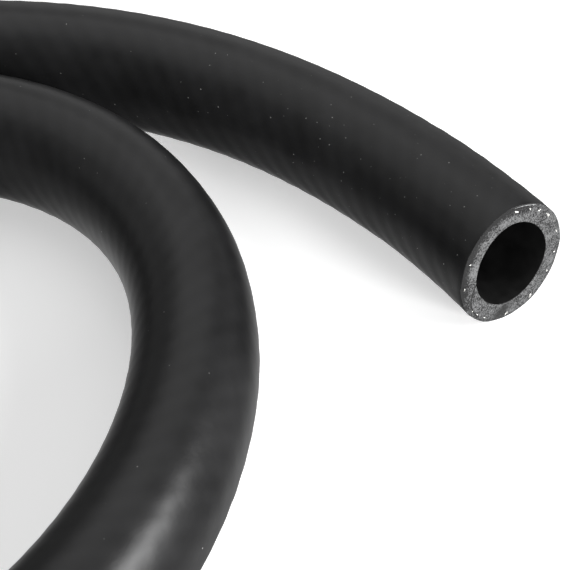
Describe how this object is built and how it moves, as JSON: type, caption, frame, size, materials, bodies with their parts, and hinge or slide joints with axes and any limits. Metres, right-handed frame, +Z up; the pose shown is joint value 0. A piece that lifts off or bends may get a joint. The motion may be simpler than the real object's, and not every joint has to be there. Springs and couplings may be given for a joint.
{
  "type": "fuel hose",
  "caption": "Length of textile-reinforced rubber fuel hose lying in a loose coil, with plain cut ends that show its tube, braid and cover.",
  "frame": {"origin": "on the floor under the middle of the coil's bounding box", "axes": "+Z up from the floor; the shown end of the hose points along +X; the coil is longest along Y"},
  "size_m": [0.2184, 0.3019, 0.031],
  "materials": {
    "tube_rubber": "matt, cut with a knife at the ends",
    "braid_yarn": "braided white yarn",
    "cover_rubber": "satin black, with the braid showing faintly through it"
  },
  "bodies": {
    "root": {"inner_tube": "tube_rubber", "textile_braid": "braid_yarn", "outer_cover": "cover_rubber"}
  },
  "joints": []
}
